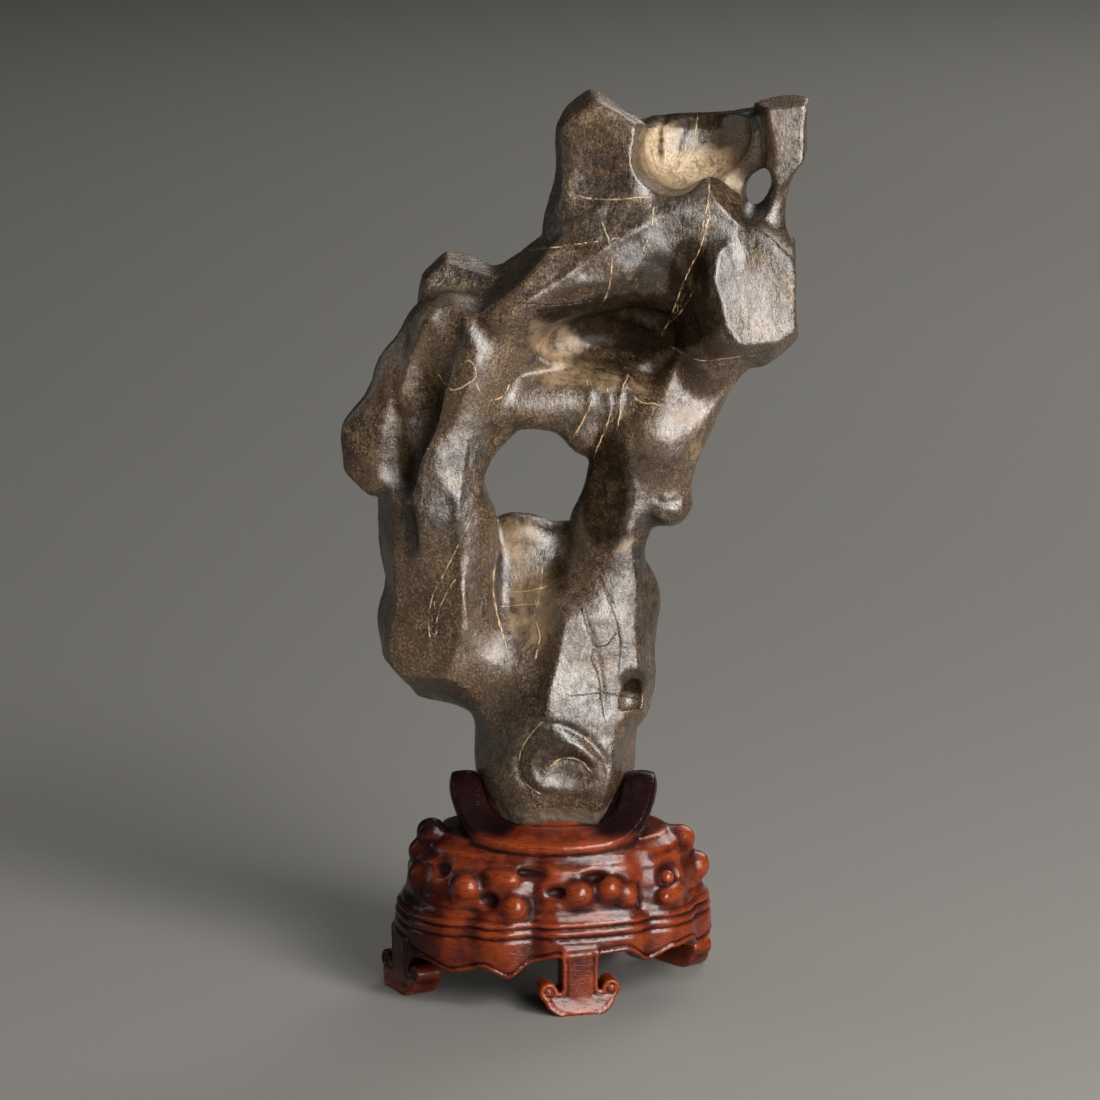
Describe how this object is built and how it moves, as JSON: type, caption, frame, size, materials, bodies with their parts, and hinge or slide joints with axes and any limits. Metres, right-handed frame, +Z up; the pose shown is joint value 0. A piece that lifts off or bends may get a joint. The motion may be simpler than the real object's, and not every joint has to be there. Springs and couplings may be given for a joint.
{
  "type": "scholar's rock on a carved wooden stand",
  "caption": "Pierced, water-worn scholar's rock standing upright in the collar of its carved wooden stand with scroll feet.",
  "frame": {"origin": "on the surface that the feet stand on, under the middle of the whole object's box", "axes": "+Z up, -Y towards the viewer of the stone's front, +X to that viewer's right"},
  "size_m": [0.1845, 0.0964, 0.362],
  "materials": {
    "stone": "natural stone, glossy dark umber with fine tan speckle and pale tan hollows",
    "carved_wood": "carved rosewood, wax polished red-brown with dark recesses"
  },
  "bodies": {
    "root": {"rock": "stone", "stand": "carved_wood"}
  },
  "joints": []
}
